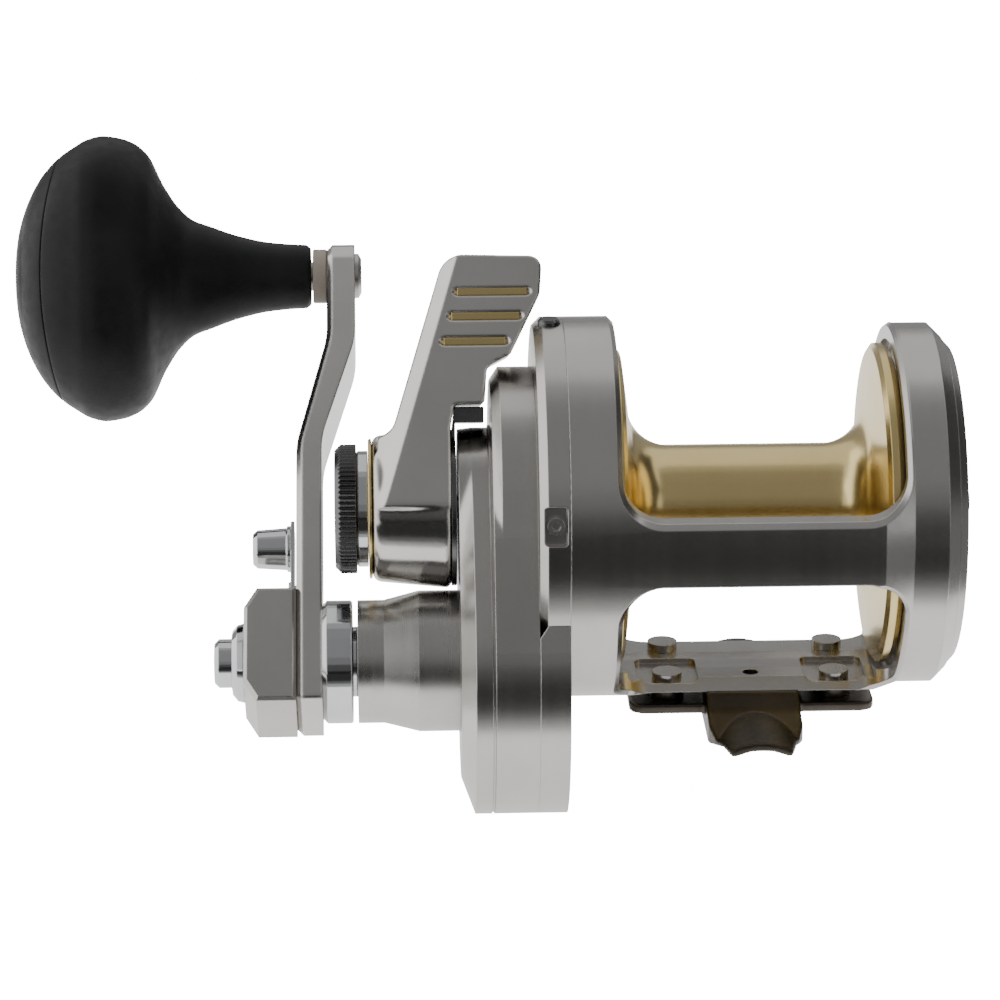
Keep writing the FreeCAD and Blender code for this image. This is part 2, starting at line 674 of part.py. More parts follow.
stop_recess = hull(sketch_on(plate, "XZ_Plane", "ring_r-2.6", tilt=GEAR_LEAN - STOP_LEAN), [
    ("strike_x-1.4", -3, 0.8), ("strike_x+1.4", -3, 0.8),
    ("strike_x+1.4", 3, 0.8), ("strike_x-1.4", 3, 0.8)])
pocket(plate, stop_recess, 5, reverse=True)
stop_bore = circle(sketch_on(plate, "XZ_Plane", "ring_r-6", tilt=GEAR_LEAN - STOP_LEAN),
                   "strike_x", 0, 1.25)
pocket(plate, stop_bore, 5, reverse=True)
bushing_seat = circle(sketch_on(plate, "YZ_Plane", "plate_x-1"), 0, "-gear_gap", 4.2)
pocket(plate, bushing_seat, 3, reverse=True)

housing = new_body("gear_housing", on_spool(TO_GEAR))


def shouldered(body, offset, spool_radius):
    """The housing outline: round above, then swelling out to the flanks."""
    side = "(housing_spool_r-shoulder_r)*flank_cos-shoulder_down*flank_sin"
    up = "-(housing_spool_r-shoulder_r)*flank_sin-shoulder_down*flank_cos"
    return hull(sketch_on(body, "YZ_Plane", offset), [
        (0, "-gear_gap", "housing_gear_r"), (side, up, "shoulder_r"), (0, 0, spool_radius),
        ("-(%s)" % side, up, "shoulder_r")])


pad(housing, shouldered(housing, "housing_shoulder", "housing_spool_r-0.3"),
    "plate_x-housing_shoulder")
loft(housing, [
    shouldered(housing, "housing_shoulder", "housing_spool_r-0.3"),
    shouldered(housing, "housing_x", "housing_top_r")])
pocket(housing, flanked(housing, "plate_x+1", 12.5, "gear_room_r"), "plate_x+2-housing_x")

lid = new_body("gear_cover", on_spool(TO_GEAR))
pad(lid, flanked(lid, "housing_x-gasket", "cover_spool_r", "housing_gear_r"),
    "housing_x-gasket-cover_x", reverse=True)
loft(lid, [
    flanked(lid, "cover_x", "cover_spool_r", "housing_gear_r"),
    flanked(lid, "cover_top", "cover_spool_r-0.3", "cover_top_r")])
pocket(lid, flanked(lid, "housing_x", 11, "gear_room_r"), "housing_x-cover_x-0.6", reverse=False)
spindle_holes = sketch_on(lid, "YZ_Plane", "housing_x+1")
circle(spindle_holes, 0, 0, 6.2)
circle(spindle_holes, 0, "-gear_gap", 9)
pocket(lid, spindle_holes, 10)
gasket = new_body("cover_gasket", on_spool(TO_GEAR))
pad(gasket, flanked(gasket, "housing_x", "cover_spool_r+0.5", "housing_gear_r-0.3"),
    "gasket", reverse=True)
pocket(gasket, flanked(gasket, "housing_x+1", 11, "gear_room_r"), "gasket+2")

turned("collar", on_gear(), [
    ("cover_top", 9), ("cover_top", "collar_r"), (-65.8, "collar_r"),
    (-72.8, "collar_neck_r"), ("collar_end", "collar_neck_r"), ("collar_end", 9)])
ring("outer_shaft_bearing", on_gear(), "collar_end+0.4", "collar_end+5.4", 9, "main_shaft_r+run_fit")
ring("inner_shaft_bearing", on_gear(), "cover_top", "cover_top+3", 9, "main_shaft_r+run_fit")
ring("pinion_bearing", on_spool(), -41, -36, 9, "7+run_fit")
ring("shaft_bushing", on_gear(), "plate_x", "plate_x+2", 4.2, "3+run_fit", 0.1)
ring("end_bushing", on_spool(), "wall_in_x", 36.2, 7, "shaft_r+run_fit")

# ================================================================ gears


def gear(teeth, start, end, bore, gap_up, backlash=0.1):
    """A spur gear whose flanks are involutes, with a gap (or tooth) at local +Z."""
    module = val("tooth_size")
    pressure = math.radians(25)
    pitch = module * teeth / 2
    base = pitch * math.cos(pressure)
    tip = pitch + 0.7 * module
    root = pitch - 1.0 * module
    inv = math.tan(pressure) - pressure
    half = math.pi / 2 / teeth - backlash / 2 / pitch + inv
    low = max(base, root + 0.02)
    flank = []
    for i in range(4):
        radius = low + (tip - low) * i / 3
        roll = math.acos(base / radius)
        flank.append((radius, half - (math.tan(roll) - roll)))
    flank.insert(0, (root, flank[0][1]))
    pitch_angle = 2 * math.pi / teeth
    offset = math.pi / 2 + (pitch_angle / 2 if gap_up else 0)
    points = []
    for i in range(teeth):
        middle = offset + i * pitch_angle
        for radius, spread in flank:
            points.append((radius, middle - spread))
        for radius, spread in reversed(flank):
            points.append((radius, middle + spread))
    spots = [V(0, radius * math.cos(angle), radius * math.sin(angle)) for radius, angle in points]
    return slab(spots, start, end, bore)


HIGH = (-54.1, -50.9)
LOW = (-49.5, -46.3)
high_gear = gear(int(val("high_teeth")), HIGH[0], HIGH[1], val("main_shaft_r"), True)
low_gear = gear(int(val("low_teeth")), LOW[0], LOW[1], val("main_shaft_r+run_fit"), True)


def lightened(blank, start, end, reach, size, count):
    """Round holes through a gear web."""
    for i in range(count):
        angle = 2 * math.pi * (i + 0.5) / count
        hole = Part.makeCylinder(size, end - start + 2,
                                 V(start - 1, reach * math.cos(angle), reach * math.sin(angle)),
                                 V(1, 0, 0))
        blank = blank.cut(hole)
    return blank


computed("high_gear", lightened(high_gear, HIGH[0], HIGH[1], 16, 4.5, 6), on_gear(TO_GEAR))
computed("low_gear", lightened(low_gear, LOW[0], LOW[1], 14.5, 3.6, 6), on_gear(TO_GEAR))
computed("high_pinion", gear(int(val("high_pinion_teeth")), HIGH[0], HIGH[1],
                             val("shaft_r+run_fit"), False), on_spool("180-gear_lean"))
computed("low_pinion", gear(int(val("low_pinion_teeth")), -50.9, -46.0,
                            val("shaft_r+run_fit"), False), on_spool("180-gear_lean"))
turned("drag_plate", on_spool(), [
    (-46, "shaft_r+run_fit"), (-46, 7), ("spool_l-2", 7), ("spool_l-2", 24.4),
    ("spool_l+0.5", 24.4), ("spool_l+0.5", "shaft_r+run_fit")])

turned("crank_shaft", on_gear(), [
    (-98.4, 1.7), (-98.4, "main_shaft_r"), (-45, "main_shaft_r"), (-45, 3), (-41, 3),
    (-41, 1.7)])
computed("reverse_ratchet", slab(
    toothed(20, 11.5, 9.6, 0.8), -45.9, -44.3, val("main_shaft_r")), on_gear(TO_GEAR))
ring("pawl_pin", on_spool(TO_GEAR), -46.2, "plate_x", 1.2, 0.2, 0.1)

pawl = new_body("reverse_pawl", on_spool(TO_GEAR))
pawl_sketch = outline(sketch_on(pawl, "YZ_Plane", -45.9), [
    (10.6, -14.5), (13.4, -14.5), (13.4, -19.5), (9.8, -21.4), (9.0, -20.8), (10.2, -18.6)])
pad(pawl, pawl_sketch, 1.6)
pocket(pawl, circle(sketch_on(pawl, "YZ_Plane", -46.9), 12, -16, "1.2+run_fit"), 4, reverse=True)
pin_lean = FreeCAD.Rotation(V(1, 0, 0), -val("gear_lean"))
pawl_spot = V(val("reel_x"), 0, val("spool_z")) + pin_lean.multVec(V(0, 12, -16))
parts["pawl_pin"].Placement = FreeCAD.Placement(pawl_spot, pin_lean)

# ================================================================ spool shaft and drag

turned("spool_shaft", on_spool(), [
    (-81, 0), (-81, 2.1), (-80.6, "shaft_r"), (35.4, "shaft_r"), (35.6, 2.3), (35.6, 0)])

# ================================================================ crank

arm = new_body("crank_arm", on_gear("-crank_lean"))
side_view = outline(sketch_on(arm, "XZ_Plane"), [
    ("arm_out", "-block_long/2-1"), ("arm_in", "-block_long/2-1"), ("arm_in", 48, 22),
    ("arm_tip_in", 72, 22), ("arm_tip_in", "crank_r+arm_tip_r+1"),
    ("arm_tip_out", "crank_r+arm_tip_r+1"), ("arm_tip_out", 73, 22), ("arm_out", 47, 22)])
pad(arm, side_view, "block_wide+4", both=True)
trim = sketch_on(arm, "YZ_Plane", "arm_out-5")
hull(trim, [
    ("1.5-block_wide/2", "1.5-block_long/2", 1.5), ("block_wide/2-1.5", "1.5-block_long/2", 1.5),
    ("block_wide/2-1.5", "block_long/2-1.5", 1.5), (0, "crank_r", "arm_tip_r"),
    ("1.5-block_wide/2", "block_long/2-1.5", 1.5)])
outline(trim, [(-30, -30), (30, -30), (30, "crank_r+30"), (-30, "crank_r+30")])
pocket(arm, trim, 30, reverse=True)


def on_arm_face(edge):
    """Long edges round the outer face of the arm."""
    middle = (edge.FirstParameter + edge.LastParameter) / 2
    spot = edge.valueAt(middle)
    step = min(max((spot.z - 47) / 26.0, 0.0), 1.0)
    face = val("arm_out") + step * (val("arm_tip_out") - val("arm_out"))
    return abs(spot.x - face) < 1.2 and abs(edge.tangentAt(middle).x) < 0.7 and abs(spot.y) > 1


chamfer(arm, on_arm_face, 1.2)
arm_holes = circle(sketch_on(arm, "YZ_Plane", "arm_out-5"), 0, 0, "main_shaft_r")
circle(arm_holes, 0, "crank_r", "pin_r")
circle(arm_holes, 0, 16.5, 0.9)
pocket(arm, arm_holes, 30, reverse=True)
relief = hull(sketch_on(arm, "YZ_Plane", "arm_in-1.4"), [(0, 20, 3.6), (0, 42, 3.2)])
pocket(arm, relief, 5, reverse=True)

block = new_body("hub_block", on_gear("-crank_lean"))
block_side = outline(sketch_on(block, "XZ_Plane"), [
    ("arm_out", "-block_long/2"), ("block_x+2.6", "-block_long/2"),
    ("block_x", "4.4-block_long/2"), ("block_x", "block_long/2-4.4"),
    ("block_x+2.6", "block_long/2"), ("arm_out", "block_long/2")])
pad(block, block_side, "block_wide", both=True)
chamfer(block, lambda edge: abs(abs(edge.CenterOfMass.y) - val("block_wide/2")) < 0.01, 0.7)
shaft_hole = circle(sketch_on(block, "YZ_Plane", "arm_out+1"), 0, 0, "main_shaft_r")
pocket(block, shaft_hole, "arm_out+1-block_x-3")
cup = circle(sketch_on(block, "YZ_Plane", "block_x-1"), 0, 0, "button_r+0.3")
pocket(block, cup, 4.2, reverse=True)
turned("hub_cap", on_gear(), [
    ("block_x", "button_r+0.3"), ("block_x", 8.0), ("block_x-1.4", 7.6), ("block_x-2.4", 6.4),
    ("block_x-2.6", "button_r+0.3")])
turned("thrust_ring", on_gear(), [
    ("arm_in", "main_shaft_r"), ("arm_in", "collar_neck_r-0.9"), ("arm_in+0.9", "collar_neck_r"),
    ("collar_end-1.3", "collar_neck_r"), ("collar_end-1", "collar_neck_r-0.3"),
    ("collar_end-1", 7), ("collar_end-0.1", 7), ("collar_end-0.1", "main_shaft_r")])
turned("shift_button", on_gear(), [
    ("button_x", 0), ("button_x", "button_r-0.9"), ("button_x+0.9", "button_r"),
    ("button_x+3.6", "button_r"), ("button_x+4.4", "button_r-0.8"), ("button_x+4.4", 1.2),
    (-53, 1.2), (-53, 1.6), (-51.4, 1.6), (-51.4, 1.2), (-47.4, 1.2), (-47.4, 0)])

plate_spring = new_body("release_plate", on_gear("-crank_lean"))
strip = outline(sketch_on(plate_spring, "XZ_Plane"), [
    ("arm_out-0.4", 13.7), ("arm_out-0.4", 30.2), ("arm_out-1.2", 30.2), ("arm_out-1.2", 14.5),
    ("arm_out-3.4", 14.5), ("arm_out-3.4", 13.7)])
pad(plate_spring, strip, 8, both=True)
rivet_hole = circle(sketch_on(plate_spring, "YZ_Plane", "arm_out+1"), 0, 16.5, "0.9+run_fit")
pocket(plate_spring, rivet_hole, 4)
turned("release_knob", on_gear("-crank_lean"), [
    ("arm_out-1.2", 0), ("arm_out-1.2", 4.7), ("arm_out-1.9", 4.7), ("arm_out-2.1", 4.3),
    ("arm_out-8.0", 3.9), ("arm_out-8.9", 3.1), ("arm_out-8.9", 0)])
turned("release_rivet", on_gear("-crank_lean"), [
    ("arm_out+2", 0), ("arm_out+2", 0.9), ("arm_out-1.3", 0.9), ("arm_out-1.3", 1.7),
    ("arm_out-1.7", 1.5), ("arm_out-1.7", 0)])
lean = FreeCAD.Rotation(V(1, 0, 0), -val("crank_lean"))
for label, height in (("release_knob", "release_z"), ("release_rivet", "16.5")):
    parts[label].Placement = FreeCAD.Placement(
        gear_axis() + lean.multVec(V(0, 0, val(height))), lean)

# ================================================================ grip

turned("grip_pin", on_grip(), [
    (-76.6, 0), (-76.6, 3.6), (-77.2, 4.7), ("arm_tip_in", 4.7), ("arm_tip_in", "pin_r"),
    (-139.6, "pin_r"), (-140, 2.6), (-140, 0)])
ring("grip_bushing", on_grip(), -86.8, "arm_tip_out", 5.7, "pin_r")

# stations along the grip: distance from its outer end, height to each side
STATIONS = (
    (0.0, 4.0), (0.3, 7.6), (1.2, 12.0), (2.6, 16.1), (4.2, 19.4), (5.8, 21.9), (9.0, 25.4),
    (12.1, 27.6), (15.3, 29.4), (18.5, 30.1), (21.6, 29.7), (24.8, 28.6), (27.9, 26.0),
    (31.1, 19.6), (34.3, 14.8), (37.4, 12.1), (40.6, 10.9), (46.9, 8.7), (53.3, 7.3),
    (59.0, 6.8), (61.0, 6.7), (62.0, 5.9))


def oval_ring(x, high, deep):
    """An oval standing across the X axis, its long side along Z."""
    count = 24
    spots = []
    for i in range(count):
        angle = 2 * math.pi * i / count
        spots.append(V(x, deep * math.sin(angle), high * math.cos(angle)))
    curve = Part.BSplineCurve()
    curve.interpolate(spots, PeriodicFlag=True)
    return Part.Wire(curve.toShape())


def grip_shape():
    """A T-shaped grip: oval sections, rounder where the section is small."""
    rings = []
    for away, high in STATIONS:
        share = val("grip_depth") + (1 - val("grip_depth")) * max(0.0, (14 - high) / 14)
        rings.append(oval_ring(val("grip_end") + away, high, high * share))
    return Part.makeLoft(rings, True, True)


def bore_along(radius, start, length):
    return Part.makeCylinder(radius, length, V(start, 0, 0), V(1, 0, 0))


grip_solid = grip_shape()
cap_ball = Part.makeSphere(72, V(val("grip_end") + 6.8 + 72, 0, 0))
grip_core = grip_solid.common(cap_ball)
for room in (bore_along(val("pin_r+run_fit"), -141, 80), bore_along(6, -138, 5),
             bore_along(5, -94, 5)):
    grip_core = grip_core.cut(room)
computed("grip", grip_core, on_grip("-grip_turn"))
computed("grip_cap", grip_solid.cut(cap_ball), on_grip("-grip_turn"))
ring("grip_bearing_out", on_grip(), -138, -133, 6, "pin_r+run_fit")
ring("grip_bearing_in", on_grip(), -94, -89, 5, "pin_r+run_fit")

# ================================================================ drag lever

lever = new_body("drag_lever", on_spool("-lever_lean"))
lever_side = outline(sketch_on(lever, "XZ_Plane"), [
    ("lever_out+1.2", 0), ("lever_in", 0), ("lever_in", 15.8), (-58.3, 20.3), (-52.3, 20.4, 0.8),
    (-51.7, 27.8, 2), (-47.0, 30.2), (-41.0, 42.1, 3), (-40.4, "lever_top", 2.5),
    (-59.9, "lever_top+0.5", 5), (-70.6, 15.4, 4), ("lever_out+1.2", 14.0)])
pad(lever, lever_side, "2*lever_r+2", both=True)
lever_trim = sketch_on(lever, "YZ_Plane", -90)
hull(lever_trim, [(0, 0, "lever_r"), (0, "lever_top+4", "lever_wide/2")])
outline(lever_trim, [(-30, -30), (30, -30), (30, "lever_top+30"), (-30, "lever_top+30")])
pocket(lever, lever_trim, 60, reverse=True)


def arm_half(level):
    """Half depth of the lever arm at a height."""
    lean = (val("lever_r") - val("lever_wide") / 2) / (val("lever_top") + 4)
    return (val("lever_r") - lean * level) / math.sqrt(1 - lean * lean)


def lever_bevel(hand):
    """Bevel one long outer edge of the lever arm."""
    rings = []
    for level in (0, 56):
        back = -70.6 + (level - 15.4) * 0.302
        face = arm_half(level)
        rings.append(outline(sketch_on(lever, "XY_Plane", level), [
            (back - 4, hand * (face - LEVER_BEVEL - 4)), (back - 4, hand * (face + 4)),
            (back + LEVER_BEVEL + 4, hand * (face + 4))]))
    loft(lever, rings, cut=True)


LEVER_BEVEL = 2.8
for hand in (1, -1):
    lever_bevel(hand)
hub = outline(sketch_on(lever, "XZ_Plane"), [
    ("lever_out", 6), ("lever_out", 14.5, 1.8), ("lever_in-0.8", "lever_r"),
    ("lever_in", "lever_r-0.8"), ("lever_in", 6)])
hub_turn = feature(lever, "Revolution", hub)
hub_turn.ReferenceAxis = (hub, ["H_Axis"])
hub_turn.Angle = 360
bore = circle(sketch_on(lever, "YZ_Plane", -90), 0, 0, 6)
pocket(lever, bore, 60, reverse=True)

# inlay bars across the lever: height, near and far end
bars = []
for level, start, end in ((42.7, -57.4, -43.6), (37.8, -58.6, -45.2), (32.8, -60.2, -48.0)):
    half = arm_half(level)
    for hand in (1, -1):
        channel = hull(sketch_on(lever, "XZ_Plane", "%d*%s" % (hand, half - 0.8)), [
            (start, level, 0.8), (end, level, 0.8)])
        pocket(lever, channel, 3, reverse=(hand > 0))
        bar = Part.makeBox(end - start, 0.5, 1.5, V(start, -hand * (half - 0.8), level - 0.75))
        if hand > 0:
            bar.translate(V(0, -0.5, 0))
        bars.append(bar)
computed("lever_inlays", Part.makeCompound(bars), on_spool("-lever_lean"))
cam = turned("drag_cam", on_spool("-lever_lean"), [
    (-66, "shaft_r+run_fit"), (-66, 6), ("lever_in", 6), ("lever_in", 15.6),
    ("cover_top-0.4", 15.6), ("cover_top-0.4", "shaft_r+run_fit")])
cam_stop = outline(sketch_on(cam, "XZ_Plane"), [
    ("lever_in+0.15", 13.4), ("cover_top-0.4", 13.4), ("cover_top-0.4", 16.9), (-52.4, 16.9),
    (-52.4, 20.0), (-58.2, 20.0)])
pad(cam, cam_stop, 14, both=True)
ring("gold_ring", on_spool(), "lever_out-0.7", "lever_out", 14, 6)
turned("preset_neck", on_spool(), [
    ("lever_out-0.8", "shaft_r+run_fit"), ("lever_out-0.8", 11.6), (-77.5, 11.6),
    (-77.9, 11.2), (-77.9, "shaft_r+run_fit")])
ring("cam_follower", on_spool(), "cover_top", "cover_top+3.1", 6.2, "shaft_r+run_fit")


def knurled(count, outer, inner, start, end, bore):
    """A knob with a knurled rim and bevelled edges."""
    points = []
    for i in range(2 * count):
        radius = outer if i % 2 else inner
        angle = math.pi * i / count
        points.append(V(0, radius * math.cos(angle), radius * math.sin(angle)))
    blank = slab(points, start, end, bore)
    bevel = Part.makeCone(outer - 1.2, outer + 3, 4.2, V(start, 0, 0), V(1, 0, 0))
    body = Part.makeCylinder(outer + 3, end - start - 4.2, V(start + 4.2, 0, 0), V(1, 0, 0))
    return blank.common(bevel.fuse(body))


computed("preset_knob", knurled(76, val("preset_r"), val("preset_r") - 0.5, val("preset_x"),
                                -77.9, val("shaft_r+run_fit")), on_spool())

# ================================================================ buttons, pawl, springs, screws

button = new_body("strike_button", on_spool())
stem = circle(sketch_on(button, "XY_Plane", 32), "strike_x", 0, "strike_r")
pad(button, stem, 7.0)
chamfer(button, lambda edge: abs(edge.CenterOfMass.z - 39.0) < 0.01, 0.5)


def coil(radius, wire_r, pitch, length, spot, direction):
    """A coil spring that starts at a spot and runs along a direction."""
    helix = Part.makeHelix(pitch, length, radius)
    profile = Part.Wire(Part.makeCircle(wire_r, V(radius, 0, 0), V(0, 1, 0)))
    spring = Part.Wire(helix).makePipeShell([profile], True, True)
    spring.Placement = FreeCAD.Placement(spot, FreeCAD.Rotation(V(0, 0, 1), direction))
    return spring


computed("strike_spring", coil(1.6, 0.25, 0.8, 2.8, V(val("strike_x"), 0, 28.9), V(0, 0, 1)),
         on_spool())
computed("shift_spring", coil(2.6, 0.3, 1.4, 2.8, V(val("block_x") - 1.1, 0, 0), V(1, 0, 0)),
         on_gear())
computed("pawl_spring", coil(0.9, 0.2, 0.8, 2.4, V(-45.1, 13.9, -18.5), V(0, 1, 0)),
         on_spool(TO_GEAR))

latch = new_body("click_pawl", on_spool())
latch_sketch = outline(sketch_on(latch, "YZ_Plane", 28), [
    (-2.4, -24.4), (2.4, -24.4), (2.4, -19.6), (-2.4, -19.6)])
pad(latch, latch_sketch, 1.4)
knob = turned("click_button", on_spool(), [
    (29.4, 0), (29.4, 2.3), ("frame_end+2.1", 2.3), ("frame_end+2.1", 3.8),
    ("frame_end+3.1", 3.8), ("frame_end+3.9", 3.0), ("frame_end+3.9", 0)])
knob.Placement = FreeCAD.Placement(V(val("reel_x"), 0, val("spool_z") - 22), FreeCAD.Rotation())

cover_screws = []
for i in range(5):
    angle = math.radians(90 + 72 * i)
    spot = V(val("frame_end") + 1.0, SCREW_CIRCLE * math.cos(angle),
             SCREW_CIRCLE * math.sin(angle))
    cover_screws.append(screw("cover_screw%d" % i, spot, V(-1, 0, 0), 2.2, 1.2, 1.0, 3.4, 1.2))
gathered("cover_screws", on_spool(), cover_screws)
stop_angle = math.radians(STOP_LEAN)
stop_way = V(0, math.cos(stop_angle), -math.sin(stop_angle))
stop_spot = V(val("strike_x"), 0, 0) - stop_way * 35.4
gathered("stop_screw", on_spool(), [
    screw("stop_screw_solid", stop_spot, stop_way, 1.7, 1.6, 1.2, 3.0, 0.9)])

# ================================================================ finish

doc.recompute()
problems = [item.Name for item in doc.Objects if "Invalid" in item.State or "Error" in item.State]
if problems:
    raise RuntimeError("did not rebuild: " + ", ".join(problems))
os.makedirs("parts", exist_ok=True)
for label, item in parts.items():
    shape = item.Shape
    if shape.isNull() or not shape.isValid() or not shape.Solids:
        raise RuntimeError("bad shape: " + label)
    shape.exportStep("parts/" + label + ".step")
print("wrote", len(parts), "parts")
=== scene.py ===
import json
import math

import bpy
from mathutils import Matrix, Vector


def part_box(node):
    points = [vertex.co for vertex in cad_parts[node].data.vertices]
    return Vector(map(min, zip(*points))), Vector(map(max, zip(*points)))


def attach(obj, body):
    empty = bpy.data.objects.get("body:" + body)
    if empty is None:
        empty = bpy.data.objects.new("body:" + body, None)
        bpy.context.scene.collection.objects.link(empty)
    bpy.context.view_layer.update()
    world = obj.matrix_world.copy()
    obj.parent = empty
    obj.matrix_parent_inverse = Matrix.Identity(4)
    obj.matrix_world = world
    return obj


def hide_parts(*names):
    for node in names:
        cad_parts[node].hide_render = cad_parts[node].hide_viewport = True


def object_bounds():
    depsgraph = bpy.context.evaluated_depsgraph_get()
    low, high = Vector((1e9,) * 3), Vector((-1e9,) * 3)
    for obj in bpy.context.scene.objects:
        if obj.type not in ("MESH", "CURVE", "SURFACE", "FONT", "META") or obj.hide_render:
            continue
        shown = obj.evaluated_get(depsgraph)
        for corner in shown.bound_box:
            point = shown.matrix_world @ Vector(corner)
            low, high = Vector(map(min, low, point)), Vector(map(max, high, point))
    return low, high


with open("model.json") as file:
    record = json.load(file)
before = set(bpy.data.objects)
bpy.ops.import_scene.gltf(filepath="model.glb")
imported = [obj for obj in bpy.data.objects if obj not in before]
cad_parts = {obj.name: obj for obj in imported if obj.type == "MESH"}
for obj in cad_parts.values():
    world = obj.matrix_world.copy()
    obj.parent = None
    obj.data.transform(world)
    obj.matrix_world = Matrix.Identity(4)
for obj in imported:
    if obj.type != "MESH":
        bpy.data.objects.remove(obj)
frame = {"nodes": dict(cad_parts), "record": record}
frame_low, frame_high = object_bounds()

# ---------------------------------------------------------------- camera, floor and light

ELEVATION = math.radians(18.0)
YAW = math.radians(1.575)
ROLL = math.radians(0.75)
CAMERA_DISTANCE = 0.8
CAMERA_X = -0.072
CAMERA_LIFT = 0.0014
SPOOL_Z = 0.051


def place_camera():
    ahead = Vector((0, math.cos(ELEVATION), -math.sin(ELEVATION)))
    up = Vector((0, math.sin(ELEVATION), math.cos(ELEVATION)))
    right = Vector((1, 0, 0))
    spot = Vector((CAMERA_X, 0, SPOOL_Z)) - ahead * CAMERA_DISTANCE + up * CAMERA_LIFT
    turned_ahead = ahead * math.cos(YAW) + right * math.sin(YAW)
    turned_right = right * math.cos(YAW) - ahead * math.sin(YAW)
    rolled_right = turned_right * math.cos(ROLL) - up * math.sin(ROLL)
    rolled_up = up * math.cos(ROLL) + turned_right * math.sin(ROLL)
    data = bpy.data.cameras.new("photo_camera")
    data.lens = 144
    data.sensor_width = 36
    data.clip_start, data.clip_end = 0.05, 20
    camera = bpy.data.objects.new("photo_camera", data)
    bpy.context.collection.objects.link(camera)
    turn = Matrix((rolled_right, rolled_up, -turned_ahead)).transposed().to_4x4()
    camera.matrix_world = Matrix.Translation(spot) @ turn
    bpy.context.scene.camera = camera


def area_light(name, spot, target, width, height, watts):
    data = bpy.data.lights.new(name, "AREA")
    data.shape = "RECTANGLE"
    data.size, data.size_y = width, height
    data.energy = watts
    lamp = bpy.data.objects.new(name, data)
    bpy.context.collection.objects.link(lamp)
    lamp.location = spot
    lamp.rotation_mode = "QUATERNION"
    lamp.rotation_quaternion = (Vector(target) - Vector(spot)).to_track_quat("-Z", "Y")
    return lamp


def plain_finish(name, colour, glow=0.0, rough=0.8):
    """A backdrop finish."""
    made = bpy.data.materials.new(name)
    made.use_nodes = True
    shader = made.node_tree.nodes["Principled BSDF"]
    shader.inputs["Base Color"].default_value = (*colour, 1)
    shader.inputs["Roughness"].default_value = rough
    shader.inputs["Specular IOR Level"].default_value = 0.2
    shader.inputs["Emission Color"].default_value = (1, 1, 1, 1)
    shader.inputs["Emission Strength"].default_value = glow
    return made


def sheet(name, corners, material):
    data = bpy.data.meshes.new(name)
    data.from_pydata(corners, [], [tuple(range(len(corners)))])
    data.materials.append(material)
    made = bpy.data.objects.new(name, data)
    bpy.context.collection.objects.link(made)
    return made


# what the metal sees in front of the reel: bands of a drum round it, lowest edge in
# degrees above the horizon, and how bright each band glows
DRUM_BANDS = (
    (-34, 0.12), (-22, 0.05), (-10, 0.02), (1, 0.09), (13, 0.22), (26, 0.28), (64, 0.29), (84, 0.40))
DRUM_END = 97
DRUM_RADIUS = 0.9
DRUM_HALF = 0.6
# strips of the ground in front of the reel: far and near edge, and how bright each glows
GROUND_STRIPS = ((-1.2, -0.128, 0.03), (-0.128, -0.100, 0.15), (-0.100, -0.078, 0.45))
STRIP_HALF = 0.35           # half the strips' width
LEFT_GLOW = 1.6             # bright wall on the handle side
RIGHT_GLOW = 0.06           # dark wall on the other side
BACK_GLOW = 0.3             # dim band low behind the reel
SURROUND = 0.8              # glow of the room
SIDE_GLOW = 0.2             # ground on the side away from the handle
BOUNCE = 1.05               # glow of the ground as the metal sees it
BACKDROP = 16.0             # glow of the ground as the camera sees it
FLOOR_GAP = 0.0005          # the floor lies this far under the foot
LAYER = 0.001               # height between ground sheets
FLOOR_FRONT, FLOOR_BACK, FLOOR_HALF = -4, 6, 4
WALL_OUT = 1.5              # the side walls stand this far out
WALL_FRONT, WALL_BACK, WALL_TOP = -1.3, 1.4, 1.6
BAND_TOP = 0.72             # upper edge of the band behind the reel
SIDE_FROM = 0.12            # the dimmer ground starts here


def glow_card(name, corners, glow):
    """A glowing card that only shows as a reflection."""
    card = sheet(name, corners, plain_finish(name, (0.0, 0.0, 0.0), glow, 1.0))
    card.visible_camera = False
    card.visible_diffuse = False
    card.visible_shadow = False


def build_drum():
    edges = [edge for edge, glow in DRUM_BANDS] + [DRUM_END]
    for i, (edge, glow) in enumerate(DRUM_BANDS):
        spots = []
        for end in (edges[i], edges[i + 1]):
            angle = math.radians(end)
            spots.append((-DRUM_RADIUS * math.cos(angle), SPOOL_Z + DRUM_RADIUS * math.sin(angle)))
        (near_y, near_z), (far_y, far_z) = spots
        glow_card("drum_band", [
            (-DRUM_HALF, near_y, near_z), (DRUM_HALF, near_y, near_z),
            (DRUM_HALF, far_y, far_z), (-DRUM_HALF, far_y, far_z)], glow)


def ground(height, far, near, half):
    return [(-half, far, height), (half, far, height), (half, near, height), (-half, near, height)]


